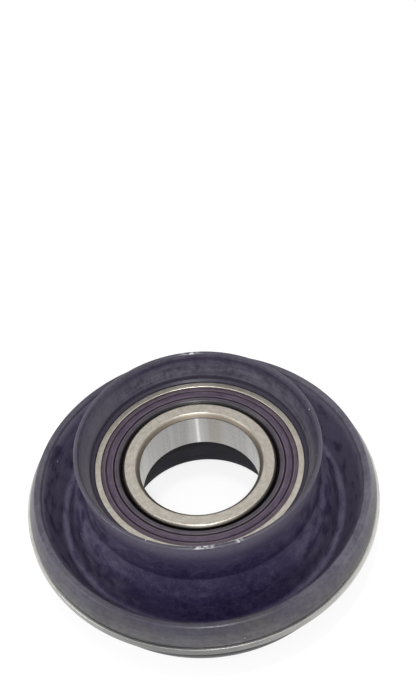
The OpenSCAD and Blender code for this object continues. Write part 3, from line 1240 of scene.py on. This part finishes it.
    def seal_section(self) -> list[Corner]:
        """The seal's section on the cup side.

        Returns:
            The corners, listed anticlockwise.
        """
        back_z = self.seal_low + self.stiffener_t + self.gap
        pocket_in_r = self.seal_inner_r + self.stiffener_lip - self.gap
        pocket_out_r = self.outer_land_r + self.stiffener_seat + self.gap
        lines = [
            Corner(r + self.line_w * across, self.seal_high - self.line_depth * down, self.line_round)
            for r in (self.seal_r - self.seal_rim_w, self.seal_inner_r + self.lip_band_w)
            for across, down in self.line_section
        ]
        return [
            Corner(pocket_out_r, back_z),
            Corner(pocket_out_r, self.seal_low),
            Corner(self.snap_r, self.seal_low, self.snap_round),
            Corner(self.snap_r, self.snap_z, self.snap_round),
            Corner(self.seal_r, self.snap_z, self.snap_step_round),
            Corner(self.seal_r, self.seal_high, self.seal_rim_round),
            *lines,
            Corner(self.seal_inner_r, self.seal_high, self.lip_top_round),
            Corner(self.lip_r, self.lip_z, self.lip_round),
            Corner(self.lip_r, self.seal_low + self.lip_edge_h, self.lip_round),
            Corner(pocket_in_r - self.back_bevel_w, self.seal_low, self.back_round),
            Corner(pocket_in_r, self.seal_low),
            Corner(pocket_in_r, back_z),
        ]

    def seal(self, side: Side) -> bpy.types.Object:
        """Sweeps the seal on one side.

        Args:
            side: The side of the bearing.

        Returns:
            The dressed seal.
        """
        section = self.seal_section()
        if side is Side.COLLAR:
            section = [corner.mirrored() for corner in section[::-1]]
        outline = Outline(tuple(section))
        piece = self.sweep.ring(f"{side.value}_lip_seal", outline, self.seal_finish.material(), self.steps)
        return place_piece(piece, Body.HOUSING, f"{side.value}_seal")

    def dress_sealed_pieces(self) -> list[bpy.types.Object]:
        """Gives the balls, the cage, its rivets and the stiffeners their steel.

        Returns:
            The dressed nodes.
        """
        sheet = self.sheet_finish.material()
        finishes = {"ball": self.ball_finish.material(), "cage": sheet, "stiffener": sheet}
        dressed = []
        for name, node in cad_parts.items():
            for word, finish in finishes.items():
                if word in name:
                    node.data.materials.clear()
                    node.data.materials.append(finish)
                    dressed.append(node)
        return dressed


@dataclass
class Cushion:
    """The moulded rubber cushion round the bearing, with the steel plate in its rim.

    Sizes are in millimetres.
    """

    sweep: RingSweep
    bearing: BallBearing
    finish: CushionRubber = CushionRubber()
    plate_finish: PlateSteel = PlateSteel()
    seal_r: float = 28.68
    seat_gap: float = 0.03
    seat_round: float = 0.15
    hub_wall: float = 3.4
    cup_h: float = 8.7
    wall_flare: float = 0.28
    waist_round: float = 6.0
    lip_flare: float = 1.3
    lip_t: float = 1.1
    lip_round: float = 0.4
    lip_inner_round: float = 0.25
    lip_bevel_w: float = 0.5
    lip_bevel_h: float = 0.9
    lip_bevel_round: float = 0.2
    bead_h: float = 1.9
    bead_foot_share: float = 1 / 3
    bead_edge_share: float = 1 / 9
    bead_hold: float = 0.4
    bead_round: float = 0.1
    ridge_step: float = 0.9
    ridge_round: float = 0.28
    floor_t: float = 6.0
    floor_line_r: float = 31.7
    line_w: float = 0.4
    line_depth: float = 0.3
    line_round: float = 0.05
    collar_h: float = 9.0
    mouth_r: float = 22.5
    collar_t: float = 1.9
    collar_round: float = 0.85
    throat_r: float = 25.6
    throat_drop: float = 2.9
    throat_round: float = 1.5
    collar_foot_r: float = 27.2
    collar_foot_round: float = 1.6
    shoulder_round: float = 0.9
    foot_drop: float = 7.0
    foot_step: float = 0.7
    crease_round: float = 1.0
    web_bulge: float = 3.1
    bulge_drop: float = 5.0
    bulge_round: float = 8.0
    notch_h: float = 3.3
    notch_w: float = 0.7
    notch_round: float = 0.25
    roll_gap: float = 2.0
    roll_w: float = 8.4
    roll_line_in: float = 4.8
    roll_drop: float = 19.6
    roll_round: float = 5.0
    trough_drop: float = 14.4
    trough_in: float = 5.0
    trough_round: float = 1.3
    rim_reach: float = 6.8
    rim_rise: float = 18.2
    rim_bead_h: float = 5.2
    rim_lean: float = 2.1
    rim_top_w: float = 1.8
    rim_round: float = 0.9
    rim_inner_round: float = 0.7
    land_h: float = 1.8
    plate_t: float = 2.4
    plate_reach: float = 0.9
    plate_w: float = 3.3
    plate_chamfer: float = 0.3
    plate_round: float = 0.15
    plate_inner_round: float = 0.1
    plate_bare: float = 1.5
    plate_gap: float = 0.08
    cover_t: float = 1.2
    cover_round: float = 0.5
    cover_edge_round: float = 0.1
    ledge_step: float = 3.5
    ledge_rise: float = 7.4
    ledge_round: float = 4.0
    groove_step: float = 0.3
    groove_rise: float = 11.8
    groove_round: float = 2.0
    steps: int = 240
    waviness: float = 0.10

    def __post_init__(self) -> None:
        """Works out the radii and heights that follow from the bearing and the sizes."""
        self.seat_r = self.bearing.outer_r
        self.face_z = self.bearing.face_z
        self.hub_r = self.seat_r + self.hub_wall
        self.roll_in_r = self.hub_r + self.roll_gap
        self.roll_out_r = self.roll_in_r + self.roll_w
        self.ledge_r = self.roll_out_r + self.ledge_step
        self.rim_r = self.roll_out_r + self.rim_reach
        self.bead_r = self.rim_r - self.rim_lean
        self.rim_in_r = self.bead_r - self.rim_top_w
        self.plate_r = self.rim_r + self.plate_reach
        self.trough_r = self.roll_in_r + self.trough_in
        self.foot_r = self.hub_r + self.foot_step
        self.cup_r = self.hub_r + self.lip_flare
        self.cup_z = self.face_z + self.cup_h
        self.ridge_z = self.face_z + self.bead_h
        self.foot_z = self.face_z - self.foot_drop
        self.floor_z = -self.face_z - self.floor_t
        self.crest_z = -self.face_z - self.roll_drop
        self.land_z = self.crest_z + self.rim_rise
        self.plate_z = self.land_z - self.plate_t
        self.rim_z = self.land_z + self.land_h + self.rim_bead_h
        self.trough_z = self.rim_z - self.trough_drop

    def mould_line(self, r: float, z: float) -> list[Corner]:
        """A fine moulding line across a flat stretch.

        Args:
            r: The line's radius.
            z: The stretch's height.

        Returns:
            The line's corners, from the axis outwards.
        """
        half = self.line_w / 2
        places = ((r - half, z), (r, z + self.line_depth), (r + half, z))
        return [Corner(*place, self.line_round) for place in places]

    def collar_side(self) -> list[Corner]:
        """The section from the bearing's seat down the collar and over the roll.

        Returns:
            The corners, from the axis outwards.
        """
        seat_z = -self.face_z - self.seat_gap
        collar_z = self.floor_z - self.collar_h
        notch_z = self.floor_z + self.notch_h
        return [
            Corner(self.seat_r + self.seat_gap, -self.face_z + self.bearing.ring_chamfer),
            Corner(self.seat_r - self.bearing.ring_chamfer, seat_z),
            Corner(self.seal_r + self.seat_gap, seat_z, self.seat_round),
            Corner(self.throat_r, -self.face_z - self.throat_drop, self.throat_round),
            Corner(self.mouth_r, collar_z, self.collar_round),
            Corner(self.mouth_r + self.collar_t, collar_z, self.collar_round),
            Corner(self.collar_foot_r, self.floor_z, self.collar_foot_round),
            *self.mould_line(self.floor_line_r, self.floor_z),
            Corner(self.hub_r, self.floor_z, self.shoulder_round),
            Corner(self.hub_r, notch_z, self.notch_round),
            Corner(self.hub_r + self.notch_w, notch_z, self.notch_round),
            Corner(self.roll_in_r, self.crest_z, self.roll_round),
            *self.mould_line(self.roll_in_r + self.roll_line_in, self.crest_z),
            Corner(self.roll_out_r, self.crest_z, self.roll_round),
        ]

    def rim_side(self) -> list[Corner]:
        """The section up the roll's flank, round the plate, over the rim and down into the trough.

        Returns:
            The corners, from the roll's outside to the trough's bottom.
        """
        cover_r = self.plate_r - self.plate_bare
        pocket_r = self.plate_r - self.plate_w - self.plate_gap
        pocket_low = self.plate_z - self.plate_gap
        pocket_top = self.land_z + self.plate_gap
        return [
            Corner(self.ledge_r, self.crest_z + self.ledge_rise, self.ledge_round),
            Corner(self.ledge_r - self.groove_step, self.crest_z + self.groove_rise, self.groove_round),
            Corner(cover_r, self.plate_z - self.cover_t, self.cover_round),
            Corner(cover_r, pocket_low, self.cover_edge_round),
            Corner(pocket_r, pocket_low),
            Corner(pocket_r, pocket_top),
            Corner(self.rim_r, pocket_top, self.ridge_round),
            Corner(self.rim_r, self.land_z + self.land_h, self.rim_round),
            Corner(self.bead_r, self.rim_z, self.rim_round),
            Corner(self.rim_in_r, self.rim_z, self.rim_inner_round),
            Corner(self.trough_r, self.trough_z, self.trough_round),
        ]

    def cup_side(self) -> list[Corner]:
        """The section up the web and the cup's outside, over the lip and back to the seat.

        Returns:
            The corners, from the web to the bearing's seat.
        """
        lip_r = self.cup_r - self.lip_t
        bead_foot_z = self.face_z + self.bead_h * self.bead_foot_share
        bead_edge_z = self.face_z + self.bead_h * self.bead_edge_share
        hold_r = self.seat_r - self.bead_hold
        hold_z = self.face_z - self.bearing.ring_chamfer + self.bead_hold + 2 * self.seat_gap
        return [
            Corner(self.foot_r + self.web_bulge, self.foot_z - self.bulge_drop, self.bulge_round),
            Corner(self.foot_r, self.foot_z, self.crease_round),
            Corner(self.hub_r, self.face_z, self.waist_round),
            Corner(self.cup_r, self.cup_z, self.lip_round),
            Corner(lip_r, self.cup_z, self.lip_inner_round),
            Corner(lip_r - self.lip_bevel_w, self.cup_z - self.lip_bevel_h, self.lip_bevel_round),
            Corner(self.seat_r + self.ridge_step, self.ridge_z, self.ridge_round),
            Corner(self.seat_r + self.ridge_step / 2, bead_foot_z, self.ridge_round),
            Corner(hold_r, bead_edge_z, self.bead_round),
            Corner(hold_r, hold_z),
            Corner(self.seat_r + self.seat_gap, self.face_z - self.bearing.ring_chamfer),
        ]

    def build(self) -> bpy.types.Object:
        """Sweeps the cushion and puts it in its node's place.

        Returns:
            The dressed cushion.
        """
        outline = Outline((*self.collar_side(), *self.rim_side(), *self.cup_side()))
        finish = self.finish.material(self)
        piece = self.sweep.ring("moulded_cushion", outline, finish, self.steps, self.waviness)
        return place_piece(piece, Body.HOUSING, "rubber_cushion")

    def build_plate(self) -> bpy.types.Object:
        """Sweeps the steel plate in the rim.

        Returns:
            The dressed plate.
        """
        inner_r = self.plate_r - self.plate_w
        cut_r = self.plate_r - self.plate_chamfer
        outline = Outline(
            (
                Corner(inner_r, self.plate_z, self.plate_inner_round),
                Corner(cut_r, self.plate_z, self.plate_round),
                Corner(self.plate_r, self.plate_z + self.plate_chamfer, self.plate_round),
                Corner(self.plate_r, self.land_z - self.plate_chamfer, self.plate_round),
                Corner(cut_r, self.land_z, self.plate_round),
                Corner(inner_r, self.land_z, self.plate_inner_round),
            )
        )
        piece = self.sweep.ring("bare_rim_plate", outline, self.plate_finish.material(), self.steps)
        return place_piece(piece, Body.HOUSING, "rim_plate")


def place_piece(piece: bpy.types.Object, body: Body, node: str) -> bpy.types.Object:
    """Lets a piece ride on its body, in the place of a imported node.

    Args:
        piece: The new piece.
        body: The body that it rides on.
        node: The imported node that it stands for.

    Returns:
        The piece.
    """
    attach(piece, body.value)
    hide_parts(node)
    return piece


@dataclass(frozen=True)
class Lamp:
    """A soft round lamp that faces the object. Its place and width are in metres, its power in watts."""

    name: str
    place: Place
    width: float
    power: float

    def hang(self) -> bpy.types.Object:
        """Hangs the lamp in the scene.

        Returns:
            The lamp.
        """
        light = bpy.data.lights.new(self.name, "AREA")
        light.shape = "DISK"
        light.size = self.width
        light.energy = self.power
        lamp = add_object(self.name, light)
        lamp.location = self.place
        lamp.rotation_mode = "QUATERNION"
        lamp.rotation_quaternion = (-Vector(self.place)).to_track_quat("-Z", "Y")
        return lamp


@dataclass
class Studio:
    """A white table, soft lamps and the camera at the photograph's viewing angle. Lengths are in metres."""

    elevation_deg: float = 53.4
    roll_deg: float = 6.4
    distance: float = 0.4
    pixels_per_metre: float = 3384.0
    origin_pixel: Point = (200.9, 476.9)
    sensor_mm: float = 36.0
    table_half: float = 3.0
    table_gap: float = 0.1 * MM
    table_colour: Colour = (0.90, 0.90, 0.90)
    table_roughness: float = 0.9
    table_specular: float = 0.1
    table_glow: float = 0.8
    ambient: float = 0.8
    lamps: tuple[Lamp, ...] = (
        Lamp("key_lamp", (-0.02, -0.62, 0.92), 0.14, 7.0),
        Lamp("side_lamp", (-0.8, -0.2, 0.55), 0.5, 2.0),
        Lamp("overhead_lamp", (-0.005, -0.1, 0.9), 0.16, 3.0),
    )

    def white_rays(self, graph: NodeGraph) -> Value:
        """Tells camera, glossy and transmitted rays from the rest.

        Args:
            graph: The graph that the nodes go into.

        Returns:
            A number that is 1 for those rays.
        """
        path = graph.node("ShaderNodeLightPath")
        names = ("Is Camera Ray", "Is Glossy Ray", "Is Transmission Ray")
        camera, glossy, through = (Value(graph, path.outputs[name]) for name in names)
        return camera.most(glossy).most(through)

    def world(self) -> None:
        """Sets a world that looks white and lights the object at a plain level."""
        world = bpy.data.worlds.new("white_room")
        bpy.context.scene.world = world
        world.use_nodes = True
        graph = NodeGraph(world.node_tree)
        strength = self.ambient + self.white_rays(graph) * (1.0 - self.ambient)
        inputs = {"Color": (1.0, 1.0, 1.0, 1.0), "Strength": strength}
        background = graph.node("ShaderNodeBackground", inputs=inputs)
        graph.node("ShaderNodeOutputWorld", inputs={"Surface": background.outputs[0]})

    def table_finish(self) -> bpy.types.Material:
        """A matt white that glows softly, so that the table stays white and keeps a faint shadow.

        Returns:
            The material.
        """
        material = bpy.data.materials.new("white_table")
        material.use_nodes = True
        graph = NodeGraph(material.node_tree)
        inputs = {
            "Base Color": (*self.table_colour, 1.0),
            "Roughness": self.table_roughness,
            "Specular IOR Level": self.table_specular,
        }
        matt = graph.node("ShaderNodeBsdfPrincipled", inputs=inputs)
        glow = graph.node("ShaderNodeEmission")
        share = self.white_rays(graph) * self.table_glow
        blend = graph.node("ShaderNodeMixShader", inputs={0: share, 1: matt.outputs[0], 2: glow.outputs[0]})
        graph.node("ShaderNodeOutputMaterial", inputs={"Surface": blend.outputs[0]})
        return material

    def table(self) -> bpy.types.Object:
        """Lays the table under the object.

        Returns:
            The table.
        """
        height = CAD_BOX[0].z - self.table_gap
        signs = ((-1, -1), (1, -1), (1, 1), (-1, 1))
        corners = [(x * self.table_half, y * self.table_half, height) for x, y in signs]
        mesh = bpy.data.meshes.new("table")
        mesh.from_pydata(corners, [], [(0, 1, 2, 3)])
        mesh.materials.append(self.table_finish())
        table = add_object("table", mesh)
        return table

    def camera(self) -> bpy.types.Object:
        """Sets the camera where the photograph was taken from.

        Returns:
            The camera.
        """
        e = math.radians(self.elevation_deg)
        back = Vector((0.0, -math.cos(e), math.sin(e)))
        focal_px = self.pixels_per_metre * self.distance
        across = self.origin_pixel[0] - IMAGE_SIZE[0] / 2
        down = self.origin_pixel[1] - IMAGE_SIZE[1] / 2
        level = (-back).to_track_quat("-Z", "Y")
        rolled = level @ Quaternion((0.0, 0.0, 1.0), -math.radians(self.roll_deg))
        aside = Vector((0.0, 0.0, -1.0)).rotation_difference(Vector((across, -down, -focal_px)))
        data = bpy.data.cameras.new("camera")
        data.sensor_width = self.sensor_mm
        data.lens = focal_px * self.sensor_mm / max(IMAGE_SIZE)
        camera = add_object("camera", data)
        camera.location = back * self.distance
        camera.rotation_mode = "QUATERNION"
        camera.rotation_quaternion = rolled @ aside.inverted()
        bpy.context.scene.camera = camera
        return camera

    def build(self) -> None:
        """Sets up the whole studio."""
        bpy.context.scene.view_settings.view_transform = "Standard"
        self.world()
        self.table()
        for lamp in self.lamps:
            lamp.hang()
        self.camera()


def main() -> None:
    """Builds the pieces in order, then the studio."""
    logging.basicConfig(level=logging.INFO)
    sweep = RingSweep()
    bearing = BallBearing(sweep)
    cushion = Cushion(sweep, bearing)
    pieces = [cushion.build(), cushion.build_plate()]
    pieces += [bearing.inner_ring(), bearing.outer_ring()]
    pieces += [bearing.seal(side) for side in Side]
    pieces += bearing.dress_sealed_pieces()
    for piece in pieces:
        LOG.info("%s: %d faces", piece.name, len(piece.data.polygons))
    Studio().build()


if __name__ == "__main__":
    main()
